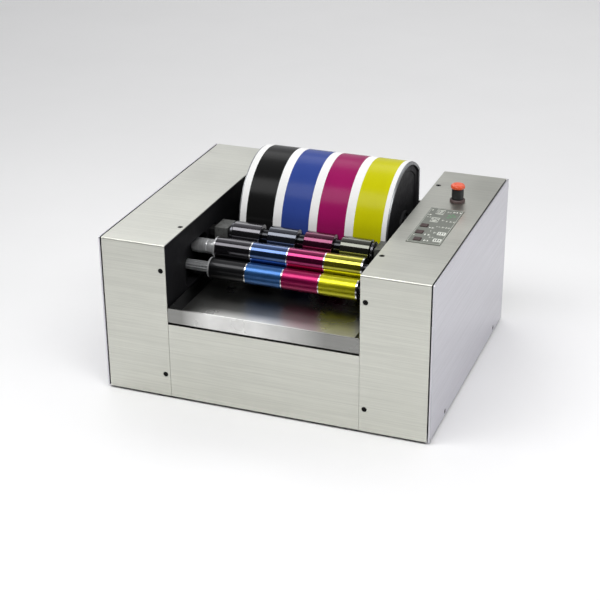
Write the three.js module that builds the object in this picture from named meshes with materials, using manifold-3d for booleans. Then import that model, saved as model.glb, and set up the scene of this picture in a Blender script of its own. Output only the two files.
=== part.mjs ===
// Desktop offset ink proofer: two side cabinets carry a paper drum, a printing roller and two ink
// rollers across an open bay, with a drip tray under them. Millimetres, +Z up, the operator stands
// at -Y. The origin is on the table, under the middle of the machine.

import * as THREE from 'three';
import { mergeVertices } from 'three/addons/utils/BufferGeometryUtils.js';
import Module from 'manifold-3d';

const wasm = await Module();
wasm.setup();

// ---------- driving dimensions ----------

const machineWidth = 525;
const machineDepth = 446;
const cabinetTop = 258;
const skirtGap = 4; // the panels stop this far above the table
const bayWidth = 307; // open space between the cabinets
const sheet = 1.5; // stainless sheet
const sidePlate = 2; // outer side plates
const frameThickness = 12; // steel side frames
const clearance = 0.3; // between pieces that touch

const drumRadius = 103.4; // over the paper
const paperThickness = 0.4;
const drumFlat = 74; // axis to the flat that carries the gripper
const drumAxis = { y: 83, z: 210.9 };
const zonePitch = 60; // one ink colour each
const zoneCount = 4;
const segmentWidth = 47; // rubber segment of the printing roller

const printRadius = 20;
const upperRadius = 17.5;
const frontRadius = 17;
const throwOff = 5; // printing roller to drum, at rest
const inkRollerShift = -9; // the ink rollers sit a little towards the left cabinet
const inkRollerHalf = 123.5;
const pocketDepth = 16.5; // the left frame is dished outwards round the ink rollers' ends

const gearModule = 1.25;
const pinionTeeth = 12;
const gearTeeth = 26;

const drumPulleyRadius = 36;
const motorPulleyRadius = 12;

const panel = { x: 204.5, y: -14, width: 53, length: 142 };
const eStop = { x: 209, y: 96 };

// ---------- derived places ----------

const front = -machineDepth / 2;
const back = machineDepth / 2;
const side = machineWidth / 2;
const bayHalf = bayWidth / 2;
const underCover = cabinetTop - sheet;
const baseBottom = skirtGap + 3;
const baseTop = baseBottom + 10;
const frameInner = bayHalf + 2;
const frameOuter = frameInner + frameThickness;
const frameMiddle = (frameInner + frameOuter) / 2;
const coverOuter = side - sidePlate - 2.2; // leaves the dark joint line along the cabinet's edge

const along = (from, degrees, distance) => ({
  y: from.y + distance * Math.cos(THREE.MathUtils.degToRad(degrees)),
  z: from.z + distance * Math.sin(THREE.MathUtils.degToRad(degrees)),
});
const printAxis = along(drumAxis, 178.5, drumRadius + printRadius + throwOff);
const upperAxis = along(printAxis, 200.6, printRadius + upperRadius);
const frontAxis = along(upperAxis, 224.6, upperRadius + frontRadius);
const meshDistance = (gearModule * (pinionTeeth + gearTeeth)) / 2;
const driveAxis = along(frontAxis, 258, meshDistance);
const drumMotorAxis = { y: drumAxis.y, z: 85 };

// ---------- materials ----------

const material = (color, roughness, metalness) =>
  new THREE.MeshStandardMaterial({ color, roughness, metalness });
const stainless = () => material(0xc4c6bd, 0.38, 1);
const blackPaint = () => material(0x151515, 0.55, 0);
const castIron = () => material(0x5a5c5c, 0.7, 0.6);
const zincSteel = () => material(0x9aa0a0, 0.45, 1);
const chrome = () => material(0xe2e4e6, 0.12, 1);
const blackOxide = () => material(0x141414, 0.4, 0.8);
const blackRubber = () => material(0x0c0c0d, 0.35, 0);
const inkedSteel = () => material(0x26282c, 0.15, 1);
const inkedRubber = () => material(0x1c1d20, 0.2, 0);
const paper = () => material(0xf4f4f4, 0.7, 0);
const castAluminium = () => material(0x8b8d90, 0.5, 1);
const beltRubber = () => material(0x1a1a1a, 0.8, 0);
const motorPaint = () => material(0x3a3f45, 0.5, 0.2);
const panelFilm = () => material(0x6c7068, 0.6, 0);
const smokedLens = () => material(0xb9bbb2, 0.2, 0);
const redKey = () => material(0x4a2420, 0.5, 0);
const paleKey = () => material(0xd9dcd2, 0.5, 0);
const signalRed = () => material(0xe4502c, 0.3, 0);
const blackPlastic = () => material(0x101010, 0.35, 0);
const boardGreen = () => material(0x1f5a37, 0.6, 0);

// ---------- geometry helpers ----------

const object = new THREE.Group();

function add(name, geometry, look, place = {}, parent = object) {
  const mesh = new THREE.Mesh(geometry, look);
  mesh.name = name;
  mesh.position.set(place.x ?? 0, place.y ?? 0, place.z ?? 0);
  parent.add(mesh);
  return mesh;
}

function groupAt(place) {
  const group = new THREE.Group();
  group.position.set(0, place.y, place.z);
  object.add(group);
  return group;
}

// A box from its low and high corners.
function block([x0, y0, z0], [x1, y1, z1]) {
  const geometry = new THREE.BoxGeometry(x1 - x0, y1 - y0, z1 - z0);
  return geometry.translate((x0 + x1) / 2, (y0 + y1) / 2, (z0 + z1) / 2);
}

// Local x, y and z of a drawn shape become the machine's Y, Z and X.
function extrudeX(shape, x0, x1, curveSegments = 24) {
  const geometry = new THREE.ExtrudeGeometry(shape, { depth: x1 - x0, bevelEnabled: false, curveSegments });
  const turn = new THREE.Matrix4().makeBasis(
    new THREE.Vector3(0, 1, 0),
    new THREE.Vector3(0, 0, 1),
    new THREE.Vector3(1, 0, 0),
  );
  return geometry.applyMatrix4(turn).translate(x0, 0, 0);
}

// Cylinders along each axis, between two coordinates on it.
function rodX(radius, x0, x1, segments = 20) {
  const geometry = new THREE.CylinderGeometry(radius, radius, x1 - x0, segments);
  return geometry.rotateZ(-Math.PI / 2).translate((x0 + x1) / 2, 0, 0);
}

function rodY(radiusFront, radiusBack, y0, y1, segments = 16) {
  const geometry = new THREE.CylinderGeometry(radiusBack, radiusFront, y1 - y0, segments);
  return geometry.translate(0, (y0 + y1) / 2, 0);
}

function rodZ(radiusLow, radiusHigh, z0, z1, segments = 20) {
  const geometry = new THREE.CylinderGeometry(radiusHigh, radiusLow, z1 - z0, segments);
  return geometry.rotateX(Math.PI / 2).translate(0, 0, (z0 + z1) / 2);
}

// A solid turned about X from [x, radius] stations that run left to right.
function turnedX(stations, segments = 28) {
  const first = stations[0];
  const last = stations[stations.length - 1];
  const outline = [[first[0], 0], ...stations, [last[0], 0]];
  const points = outline.map(([x, radius]) => new THREE.Vector2(radius, x));
  return new THREE.LatheGeometry(points, segments).rotateZ(-Math.PI / 2);
}

// The same about Z, with [radius, z] points that start and end on the axis.
function turnedZ(outline, segments = 24) {
  const points = outline.map(([radius, z]) => new THREE.Vector2(radius, z));
  return new THREE.LatheGeometry(points, segments).rotateX(Math.PI / 2);
}

function ringX(inner, outer, x0, x1, segments = 28) {
  return cut(rodX(outer, x0, x1, segments), rodX(inner, x0 - 1, x1 + 1, segments));
}

function toSolid(geometry) {
  const plain = geometry.index ? geometry.toNonIndexed() : geometry.clone();
  plain.deleteAttribute('normal');
  plain.deleteAttribute('uv');
  const merged = mergeVertices(plain, 1e-4);
  return new wasm.Manifold(
    new wasm.Mesh({
      numProp: 3,
      vertProperties: merged.attributes.position.array,
      triVerts: new Uint32Array(merged.index.array),
    }),
  );
}

function toGeometry(solid) {
  const mesh = solid.getMesh();
  const geometry = new THREE.BufferGeometry();
  geometry.setAttribute('position', new THREE.BufferAttribute(mesh.vertProperties, 3));
  geometry.setIndex(new THREE.BufferAttribute(mesh.triVerts, 1));
  const shaded = geometry.toNonIndexed();
  shaded.computeVertexNormals();
  return shaded;
}

function cut(geometry, ...tools) {
  const left = tools.reduce((solid, tool) => solid.subtract(toSolid(tool)), toSolid(geometry));
  return toGeometry(left);
}

function join(...geometries) {
  const solids = geometries.map(toSolid);
  return toGeometry(solids.reduce((all, next) => all.add(next)));
}

const moved = (geometry, x, y, z) => geometry.clone().translate(x, y, z);
const bothSides = [
  ['left', -1],
  ['right', 1],
];

// A box between |x| values on one side of the machine; sign is -1 on the left and 1 on the right.
function sideBlock(sign, xNear, xFar, [y0, z0], [y1, z1]) {
  const xs = [sign * xNear, sign * xFar].sort((a, b) => a - b);
  return block([xs[0], y0, z0], [xs[1], y1, z1]);
}

function sideRod(sign, radius, xNear, xFar, segments) {
  const xs = [sign * xNear, sign * xFar].sort((a, b) => a - b);
  return rodX(radius, xs[0], xs[1], segments);
}

// ---------- fasteners ----------

const screwHead = 4;
const screwHeadDepth = 2.2;
const screwShank = 2;
const screwLength = 12;
const coverScrews = { x: frameMiddle, frontZ: [41, 216], topY: [-148, 154.5] };
const sideScrews = { y: [-138, 163], z: 12 };

// A countersunk screw whose head is flush with z = 0 and whose tip points down.
function screw() {
  const top = -0.1;
  const body = turnedZ(
    [
      [0, -screwLength],
      [screwShank, -screwLength],
      [screwShank, -screwHeadDepth],
      [screwHead, top - 0.3],
      [screwHead, top],
      [0, top],
    ],
    12,
  );
  return cut(body, rodZ(1.5, 1.5, top - 1.4, 1, 6));
}

// The hole that a screw sits in: the countersink and a clear hole for the shank.
function screwHole() {
  const sink = rodZ(screwShank + clearance, screwHead + clearance, -screwHeadDepth - 0.1, -0.4, 12);
  const mouth = rodZ(screwHead + clearance, screwHead + clearance, -0.45, 2, 12);
  const shank = rodZ(screwShank + clearance, screwShank + clearance, -screwLength - 1, -1, 12);
  return join(sink, mouth, shank);
}

const facingFront = (geometry) => geometry.rotateX(Math.PI / 2);
const facingSide = (geometry, sign) => geometry.rotateY((sign * Math.PI) / 2);

function coverHoles(sign) {
  const x = sign * coverScrews.x;
  const inFront = coverScrews.frontZ.map((z) => facingFront(screwHole()).translate(x, front, z));
  const onTop = coverScrews.topY.map((y) => screwHole().translate(x, y, cabinetTop));
  return [...inFront, ...onTop];
}

function addScrews() {
  for (const [name, sign] of bothSides) {
    const x = sign * coverScrews.x;
    coverScrews.frontZ.forEach((z, i) =>
      add(`${name}_front_screw_${i + 1}`, facingFront(screw()), blackOxide(), { x, y: front, z }),
    );
    coverScrews.topY.forEach((y, i) =>
      add(`${name}_top_screw_${i + 1}`, screw(), blackOxide(), { x, y, z: cabinetTop }),
    );
  }
}

// ---------- structure ----------

const journal = 8;
const slideBlock = { xNear: 121.5, xFar: 143.5, front: 16, back: 19, low: 188, high: 227 };
const tongue = { halfDepth: 10, halfHeight: 6, reach: frameOuter + 12 };
const pocketWall = 5;
const dish = { front: -150, back: -64, low: 154, high: 222, corner: 14 };

function addBase() {
  const base = block([-258, front + 4, baseBottom], [258, back - 4, baseTop]);
  add('base_plate', base, zincSteel());
  const foot = turnedZ(
    [
      [0, 0],
      [14, 0],
      [16, 2],
      [16, baseBottom - clearance],
      [0, baseBottom - clearance],
    ],
    20,
  );
  [
    [-225, -185],
    [225, -185],
    [-225, 185],
    [225, 185],
  ].forEach(([x, y], i) => add(`foot_${i + 1}`, foot.clone(), blackRubber(), { x, y }));
}

// A rounded box round both ink rollers' left ends, grown by a margin, between two |x| values.
function rollerDish(margin, xNear, xFar) {
  const low = { y: dish.front - margin, z: dish.low - margin };
  const high = { y: dish.back + margin, z: dish.high + margin };
  const r = dish.corner + margin;
  const shape = new THREE.Shape();
  shape.absarc(high.y - r, high.z - r, r, 0, Math.PI / 2, false);
  shape.absarc(low.y + r, high.z - r, r, Math.PI / 2, Math.PI, false);
  shape.absarc(low.y + r, low.z + r, r, Math.PI, 1.5 * Math.PI, false);
  shape.absarc(high.y - r, low.z + r, r, 1.5 * Math.PI, 2 * Math.PI, false);
  shape.closePath();
  return extrudeX(shape, -xFar, -xNear, 6);
}

function frameGeometry(sign) {
  const plate = sideBlock(
    sign,
    frameInner,
    frameOuter,
    [front + sheet + clearance, baseTop + clearance],
    [back - sheet - clearance, underCover - clearance],
  );
  const bore = (radius, axis) =>
    moved(sideRod(sign, radius, frameInner - 2, frameOuter + 14), 0, axis.y, axis.z);
  const slot = sideBlock(
    sign,
    frameInner - 2,
    frameOuter + 2,
    [printAxis.y - tongue.halfDepth - 1, printAxis.z - tongue.halfHeight - clearance],
    [printAxis.y + tongue.halfDepth + throwOff + 1, printAxis.z + tongue.halfHeight + clearance],
  );
  const frontBore = sign < 0 ? (gearModule * (pinionTeeth + 2)) / 2 + clearance : journal + clearance;
  const pocketFloor = frameInner + pocketDepth;
  const dished = sign < 0;
  const body = dished ? join(plate, rollerDish(pocketWall, frameOuter - 1, pocketFloor + 6)) : plate;
  const pocket = dished ? [rollerDish(0, frameInner - 1, pocketFloor)] : [];
  return cut(
    body,
    ...pocket,
    bore(journal + clearance, drumAxis),
    bore(journal + clearance, upperAxis),
    bore(frontBore, frontAxis),
    slot,
    ...coverHoles(sign),
  );
}

// The cover's outline seen from the side: front, top and rear in one folded sheet.
function coverOutline() {
  const outer = 2.5;
  const inner = outer - sheet;
  const y0 = front;
  const y1 = back;
  const z1 = cabinetTop;
  const shape = new THREE.Shape();
  shape.moveTo(y0, skirtGap);
  shape.lineTo(y0 + sheet, skirtGap);
  shape.lineTo(y0 + sheet, z1 - outer);
  shape.absarc(y0 + outer, z1 - outer, inner, Math.PI, Math.PI / 2, true);
  shape.lineTo(y1 - outer, z1 - sheet);
  shape.absarc(y1 - outer, z1 - outer, inner, Math.PI / 2, 0, true);
  shape.lineTo(y1 - sheet, skirtGap);
  shape.lineTo(y1, skirtGap);
  shape.lineTo(y1, z1 - outer);
  shape.absarc(y1 - outer, z1 - outer, outer, 0, Math.PI / 2, false);
  shape.lineTo(y0 + outer, z1);
  shape.absarc(y0 + outer, z1 - outer, outer, Math.PI / 2, Math.PI, false);
  shape.closePath();
  return shape;
}

const inlet = { x: 212, z: 84, width: 30, height: 58, depth: 32 };

function panelOpening() {
  const grow = clearance;
  return block(
    [panel.x - panel.width / 2 - grow, panel.y - panel.length / 2 - grow, underCover - 3],
    [panel.x + panel.width / 2 + grow, panel.y + panel.length / 2 + grow, cabinetTop + 3],
  );
}

function inletOpening() {
  return block(
    [inlet.x - inlet.width / 2 - clearance, back - 5, inlet.z - inlet.height / 2 - clearance],
    [inlet.x + inlet.width / 2 + clearance, back + 5, inlet.z + inlet.height / 2 + clearance],
  );
}

function coverGeometry(sign) {
  const xs = [sign * bayHalf, sign * coverOuter].sort((a, b) => a - b);
  const shell = extrudeX(coverOutline(), xs[0], xs[1], 3);
  const openings = coverHoles(sign);
  if (sign > 0) {
    const barrelHole = rodZ(11.4, 11.4, underCover - 3, cabinetTop + 3, 24).translate(eStop.x, eStop.y, 0);
    openings.push(panelOpening(), inletOpening(), barrelHole);
  }
  return cut(shell, ...openings);
}

function sidePlateGeometry(sign) {
  const r = 2.5;
  const shape = new THREE.Shape();
  shape.moveTo(front, skirtGap);
  shape.lineTo(back, skirtGap);
  shape.lineTo(back, cabinetTop - r);
  shape.absarc(back - r, cabinetTop - r, r, 0, Math.PI / 2, false);
  shape.lineTo(front + r, cabinetTop);
  shape.absarc(front + r, cabinetTop - r, r, Math.PI / 2, Math.PI, false);
  shape.closePath();
  const xs = [sign * (side - sidePlate), sign * side].sort((a, b) => a - b);
  const hole = facingSide(screwHole(), sign).translate(sign * side, 0, sideScrews.z);
  const holes = sideScrews.y.map((y) => moved(hole, 0, y, 0));
  return cut(extrudeX(shape, xs[0], xs[1], 3), ...holes);
}

function frontPanelGeometry() {
  const top = 128.5;
  const flange = 12;
  const shape = new THREE.Shape();
  shape.moveTo(front, skirtGap);
  shape.lineTo(front + sheet, skirtGap);
  shape.lineTo(front + sheet, top - sheet);
  shape.lineTo(front + flange, top - sheet);
  shape.lineTo(front + flange, top);
  shape.lineTo(front, top);
  shape.closePath();
  return extrudeX(shape, -bayHalf + clearance, bayHalf - clearance);
}

function rearPanelGeometry() {
  const top = 200;
  const plate = block([-bayHalf + clearance, back - sheet, skirtGap], [bayHalf - clearance, back, top]);
  const slots = [];
  for (let row = 0; row < 7; row += 1) {
    const z = 60 + row * 14;
    slots.push(block([-70, back - 4, z], [70, back + 4, z + 4]));
  }
  return cut(plate, ...slots);
}

const tray = { front, back: -14, low: 132, rim: 156, floor: 146, wall: 1.5, slope: 12 };

// A solid between two rectangles, the lower one drawn in by the slope.
function frustum(x, y0, y1, z0, z1, slope) {
  const geometry = new THREE.BoxGeometry(2 * x, y1 - y0, z1 - z0);
  const corners = geometry.attributes.position;
  for (let i = 0; i < corners.count; i += 1) {
    if (corners.getZ(i) < 0) {
      corners.setX(i, corners.getX(i) - Math.sign(corners.getX(i)) * slope);
      corners.setY(i, corners.getY(i) - Math.sign(corners.getY(i)) * slope * 0.4);
    }
  }
  return geometry.translate(0, (y0 + y1) / 2, (z0 + z1) / 2);
}

function trayGeometry() {
  const x = bayHalf - 2 * clearance;
  const body = block([-x, tray.front, tray.low], [x, tray.back, tray.rim]);
  const pan = frustum(x - 2, tray.front + 2, tray.back - 2, tray.floor, tray.rim + 0.01, tray.slope);
  const under = block(
    [-x + tray.slope, tray.front + tray.wall, tray.low - 1],
    [x - tray.slope, tray.back - tray.wall, tray.floor - tray.wall],
  );
  return cut(body, pan, under);
}

function addStructure() {
  addBase();
  for (const [name, sign] of bothSides) {
    add(`${name}_frame`, frameGeometry(sign), blackPaint());
    add(`${name}_cover`, coverGeometry(sign), stainless());
    add(`${name}_side_plate`, sidePlateGeometry(sign), stainless());
  }
  add('front_panel', frontPanelGeometry(), stainless());
  add('rear_panel', rearPanelGeometry(), stainless());
  const barTop = tray.low - clearance;
  const barHalf = frameInner - clearance;
  const bar = (y0) => block([-barHalf, y0, barTop - 12], [barHalf, y0 + 12, barTop]);
  add('front_tie_bar', bar(-205), zincSteel());
  add('rear_tie_bar', bar(-40), zincSteel());
  add('drip_tray', trayGeometry(), stainless());
  addScrews();
}

// ---------- drum ----------

const shellWall = 5;
const shellHalf = 124.5;
const drumShift = 4.5; // the drum sits a little towards the right cabinet
const shellRadius = drumRadius - paperThickness - 0.4;
const shellFlat = drumFlat - 0.4;

// A circle with a flat on its rear side.
function flattenedCircle(radius, flat, Kind = THREE.Shape) {
  const corner = Math.acos(flat / radius);
  const shape = new Kind();
  shape.absarc(0, 0, radius, corner, 2 * Math.PI - corner, false);
  shape.closePath();
  return shape;
}

const gripper = { hingeY: 77.6, hingeZ: 40, pin: 1.5, lugX: 118, halfLength: 113, tip: 63 };

function drumShell() {
  const outline = flattenedCircle(shellRadius, shellFlat);
  outline.holes.push(flattenedCircle(shellRadius - shellWall, shellFlat - shellWall, THREE.Path));
  let shell = extrudeX(outline, -shellHalf, shellHalf, 48);
  for (const [, sign] of bothSides) {
    const lug = sideBlock(
      sign,
      gripper.lugX - 4,
      gripper.lugX + 4,
      [shellFlat - 1, gripper.hingeZ - 5],
      [gripper.hingeY + 4, gripper.hingeZ + 5],
    );
    const hole = moved(
      sideRod(sign, gripper.pin + clearance, gripper.lugX - 6, gripper.lugX + 6, 10),
      0,
      gripper.hingeY,
      gripper.hingeZ,
    );
    shell = cut(join(shell, lug), hole);
  }
  return shell.translate(drumShift, 0, 0);
}

// The drum's shaft with its two end discs.
function drumCore() {
  const fit = clearance + 0.05;
  const outline = flattenedCircle(shellRadius - shellWall - fit, shellFlat - shellWall - fit);
  const discs = bothSides.map(([, sign]) => {
    const xs = [sign * 114, sign * 121].sort((a, b) => a - b);
    return extrudeX(outline, xs[0] + drumShift, xs[1] + drumShift, 36);
  });
  const shaft = turnedX([
    [-frameOuter - 3, journal],
    [-140, journal],
    [-140, 14],
    [140, 14],
    [140, journal],
    [190, journal],
  ]);
  return join(shaft, ...discs);
}

// The proof sheet, held under the gripper on the flat and wrapped over the drum's front.
function proofPaper() {
  const outer = drumRadius;
  const inner = drumRadius - paperThickness;
  const flatInner = drumFlat;
  const flatOuter = drumFlat + paperThickness;
  const tail = THREE.MathUtils.degToRad(209);
  const start = Math.acos(flatOuter / outer);
  const innerEnd = Math.acos(flatInner / inner);
  const flap = inner * Math.sin(innerEnd) - 15;
  const shape = new THREE.Shape();
  shape.absarc(0, 0, outer, start, tail, false);
  shape.lineTo(inner * Math.cos(tail), inner * Math.sin(tail));
  shape.absarc(0, 0, inner, tail, innerEnd, true);
  shape.lineTo(flatInner, flap);
  shape.lineTo(flatOuter, flap);
  shape.closePath();
  return extrudeX(shape, drumShift - 122, drumShift + 122, 36);
}

function gripperBar() {
  const y0 = drumFlat + paperThickness + clearance;
  const bar = block(
    [-gripper.halfLength, y0, gripper.hingeZ],
    [gripper.halfLength, y0 + 3.5, gripper.tip],
  );
  const pinReach = gripper.lugX + 3;
  const pins = rodX(gripper.pin, -pinReach, pinReach, 10).translate(0, gripper.hingeY, gripper.hingeZ);
  const knuckle = rodX(2.9, -gripper.halfLength, gripper.halfLength, 12).translate(
    0,
    gripper.hingeY,
    gripper.hingeZ,
  );
  return join(bar, knuckle, pins).translate(drumShift, 0, 0);
}

// A flat belt round two pulleys, the small one straight below the large one.
function beltGeometry(largeRadius, smallRadius, distance, x0, x1) {
  const outline = (grow, Kind) => {
    const large = largeRadius + grow;
    const small = smallRadius + grow;
    const wrap = Math.asin((large - small) / distance);
    const shape = new Kind();
    shape.absarc(0, 0, large, -wrap, Math.PI + wrap, false);
    shape.absarc(0, -distance, small, Math.PI + wrap, 2 * Math.PI - wrap, false);
    shape.closePath();
    return shape;
  };
  const band = outline(clearance + 2, THREE.Shape);
  band.holes.push(outline(clearance, THREE.Path));
  return extrudeX(band, x0, x1, 14);
}

function addDrum() {
  const drum = groupAt(drumAxis);
  add('drum_shell', drumShell(), castAluminium(), {}, drum);
  add('drum_core', drumCore(), castIron(), {}, drum);
  add('proof_paper', proofPaper(), paper(), {}, drum);
  add('gripper_bar', gripperBar(), zincSteel(), {}, drum);
  const pulley = { x0: 175, x1: 187 };
  add(
    'drum_pulley',
    ringX(journal + clearance, drumPulleyRadius, pulley.x0, pulley.x1),
    castAluminium(),
    {},
    drum,
  );
  const distance = drumAxis.z - drumMotorAxis.z;
  add(
    'drum_belt',
    beltGeometry(drumPulleyRadius, motorPulleyRadius, distance, pulley.x0 + 1, pulley.x1 - 1),
    beltRubber(),
    {},
    drum,
  );
  const motor = groupAt(drumMotorAxis);
  add(
    'drum_motor_pulley',
    turnedX([
      [pulley.x0, motorPulleyRadius],
      [pulley.x1, motorPulleyRadius],
      [pulley.x1, 5],
      [196, 5],
    ]),
    zincSteel(),
    {},
    motor,
  );
  add('drum_motor', motorGeometry(1, 36, 190, 250, drumMotorAxis), motorPaint(), {}, motor);
}

// A motor along X with its mounting foot, bored for its shaft at the inner end.
function motorGeometry(sign, radius, xNear, xFar, axis) {
  const body = sideRod(sign, radius, xNear, xFar, 24);
  const foot = sideBlock(
    sign,
    xNear + 12,
    xFar - 12,
    [-radius * 0.6, baseTop + clearance - axis.z],
    [radius * 0.6, -radius * 0.5],
  );
  return cut(join(body, foot), sideRod(sign, 5 + clearance, xNear - 1, xNear + 8, 12));
}

// ---------- rollers ----------

function addPrintingRoller() {
  const carriage = groupAt(printAxis);
  const neck = 13;
  const half = zonePitch * (zoneCount / 2) - (zonePitch - segmentWidth) / 2;
  const core = turnedX([
    [-slideBlock.xFar + 4, 6],
    [-half - 5, 6],
    [-half - 5, 17],
    [-half - 1, 17],
    [-half - 1, neck],
    [half + 1, neck],
    [half + 1, 17],
    [half + 5, 17],
    [half + 5, 6],
    [slideBlock.xFar - 4, 6],
  ]);
  add('print_roller_core', core, inkedSteel(), {}, carriage);
  const ink = ['black', 'blue', 'magenta', 'yellow'];
  for (let zone = 0; zone < zoneCount; zone += 1) {
    const x = (zone - (zoneCount - 1) / 2) * zonePitch;
    const sleeve = ringX(
      neck + clearance,
      printRadius - clearance / 2,
      x - segmentWidth / 2,
      x + segmentWidth / 2,
    );
    add(`print_sleeve_${ink[zone]}`, sleeve, inkedRubber(), {}, carriage);
  }
  const rod = { y: 16, z: -20, radius: 4 };
  for (const [name, sign] of bothSides) {
    const body = sideBlock(
      sign,
      slideBlock.xNear,
      slideBlock.xFar,
      [-slideBlock.front, slideBlock.low - printAxis.z],
      [slideBlock.back, slideBlock.high - printAxis.z],
    );
    const stub = sideBlock(
      sign,
      slideBlock.xFar - 1,
      tongue.reach,
      [-tongue.halfDepth, -tongue.halfHeight],
      [tongue.halfDepth, tongue.halfHeight],
    );
    const mouth = slideBlock.xNear - 2;
    const rodHole = sideRod(sign, rod.radius + clearance, mouth, slideBlock.xFar - 6, 14);
    const holes = [
      sideRod(sign, 6 + clearance, mouth, slideBlock.xFar - 3),
      rodHole.translate(0, rod.y, rod.z),
    ];
    add(`${name}_slide_block`, cut(join(body, stub), ...holes), castIron(), {}, carriage);
  }
  const reach = slideBlock.xFar - 7;
  const tieRod = rodX(rod.radius, -reach, reach, 14).translate(0, rod.y, rod.z);
  add('slide_tie_rod', tieRod, zincSteel(), {}, carriage);
}

// An ink roller with a journal of its own on each side, from [reach, radius] pairs.
function inkRoller(radius, leftSteps, rightSteps) {
  const left = inkRollerShift - inkRollerHalf;
  const right = inkRollerShift + inkRollerHalf;
  const stations = [];
  leftSteps.forEach(([x0, x1, r]) => stations.push([x0, r], [x1, r]));
  stations.push([left, radius], [right, radius]);
  rightSteps.forEach(([x0, x1, r]) => stations.push([x0, r], [x1, r]));
  return turnedX(stations, 32);
}

function addInkRollers() {
  const left = inkRollerShift - inkRollerHalf;
  const right = inkRollerShift + inkRollerHalf;
  const journalEnd = frameOuter - 1.5;
  const pocketFloor = frameInner + pocketDepth;
  const upper = groupAt(upperAxis);
  const upperSteel = inkRoller(
    upperRadius - clearance / 2,
    [
      [-pocketFloor - 4.5, 1 - pocketFloor, journal],
      [1 - pocketFloor, left, 12],
    ],
    [[right, journalEnd, journal]],
  );
  add('upper_ink_roller', upperSteel, inkedSteel(), {}, upper);
  const lower = groupAt(frontAxis);
  const pinionEnd = -191;
  const lowerSteel = inkRoller(
    frontRadius - clearance / 2,
    [[pinionEnd, left, 4]],
    [[right, journalEnd, journal]],
  );
  add('front_ink_roller', lowerSteel, inkedSteel(), {}, lower);
  const pinion = gearGeometry(pinionTeeth, 4 + clearance, pinionEnd + 1, left - clearance, 0);
  add('roller_pinion', pinion, chrome(), {}, lower);
}

// ---------- gears ----------

// A spur gear's outline: each tooth is a trapezoid, thinned for backlash.
function gearOutline(teeth, phase) {
  const pitchRadius = (gearModule * teeth) / 2;
  const tip = pitchRadius + gearModule * 0.9;
  const root = pitchRadius - gearModule * 1.2;
  const step = (2 * Math.PI) / teeth;
  const flanks = [
    [root, -0.31],
    [tip, -0.12],
    [tip, 0.12],
    [root, 0.31],
  ];
  const shape = new THREE.Shape();
  for (let tooth = 0; tooth < teeth; tooth += 1) {
    flanks.forEach(([radius, share], i) => {
      const angle = (tooth + share) * step + phase;
      const point = [radius * Math.cos(angle), radius * Math.sin(angle)];
      if (tooth === 0 && i === 0) shape.moveTo(...point);
      else shape.lineTo(...point);
    });
  }
  shape.closePath();
  return shape;
}

function gearGeometry(teeth, bore, x0, x1, phase) {
  const shape = gearOutline(teeth, phase);
  const hole = new THREE.Path();
  hole.absarc(0, 0, bore, 0, 2 * Math.PI, true);
  shape.holes.push(hole);
  return extrudeX(shape, x0, x1, 12);
}

function addRollerDrive() {
  const drive = groupAt(driveAxis);
  const towardsPinion = THREE.MathUtils.degToRad(258 - 180);
  const pinionStep = (2 * Math.PI) / pinionTeeth;
  const gearStep = (2 * Math.PI) / gearTeeth;
  // How far the pinion's nearest tooth is past the line of centres, carried over to the gear's gap.
  const pinionPhase = (((THREE.MathUtils.degToRad(258) / pinionStep) % 1) + 1) % 1;
  const phase = towardsPinion + (0.5 + pinionPhase) * gearStep;
  const gear = gearGeometry(gearTeeth, 4, -190, -180, phase);
  const shaft = rodX(4.5, -202, -179.5, 14);
  add('drive_gear', join(gear, shaft), zincSteel(), {}, drive);
  add('roller_motor', motorGeometry(-1, 30, 195, 250, driveAxis), motorPaint(), {}, drive);
}

function addImpressionSolenoid() {
  const place = { y: printAxis.y, z: printAxis.z };
  const x = frameOuter + 7;
  const group = groupAt(place);
  const coil = block([frameOuter + 1, -105, -15], [frameOuter + 28, -48, 15]);
  const bore = rodY(5 + clearance, 5 + clearance, -90, -40).translate(x, 0, 0);
  add('impression_solenoid', cut(coil, bore), motorPaint(), {}, group);
  const rod = rodY(5, 5, -80, -tongue.halfDepth - clearance).translate(x, 0, 0);
  add('solenoid_plunger', rod, zincSteel(), {}, group);
}

// ---------- controls ----------

const panelTop = cabinetTop + 0.8;
const panelBottom = cabinetTop - 2;
const keySize = 11.5;
const keyTop = panelTop + 1.2;
const redKeys = [
  { x: -16.5, y: -4.5 },
  { x: -16.5, y: -31 },
  { x: -12, y: -58 },
];
const paleKeys = [
  { x: 17.5, y: -29.5 },
  { x: 18, y: -56 },
];
const paleKeyWidth = 13;
const windows = { x: -7.5, y: [22.5, 55], width: 13, length: 19 };

// Keys and windows are placed from the middle of the panel.
function keyOpening(x, y, width, length) {
  const opening = block(
    [x - width / 2 - clearance, y - length / 2 - clearance, panelBottom - 2],
    [x + width / 2 + clearance, y + length / 2 + clearance, panelTop + 2],
  );
  return opening.translate(panel.x, panel.y, 0);
}

function addKey(name, look, x, y, width, length) {
  const cap = block([-width / 2, -length / 2, 252], [width / 2, length / 2, keyTop]);
  const flange = block([-width / 2 - 1, -length / 2 - 1, 252], [width / 2 + 1, length / 2 + 1, 253.2]);
  add(name, join(cap, flange), look, { x: panel.x + x, y: panel.y + y });
}

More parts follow.
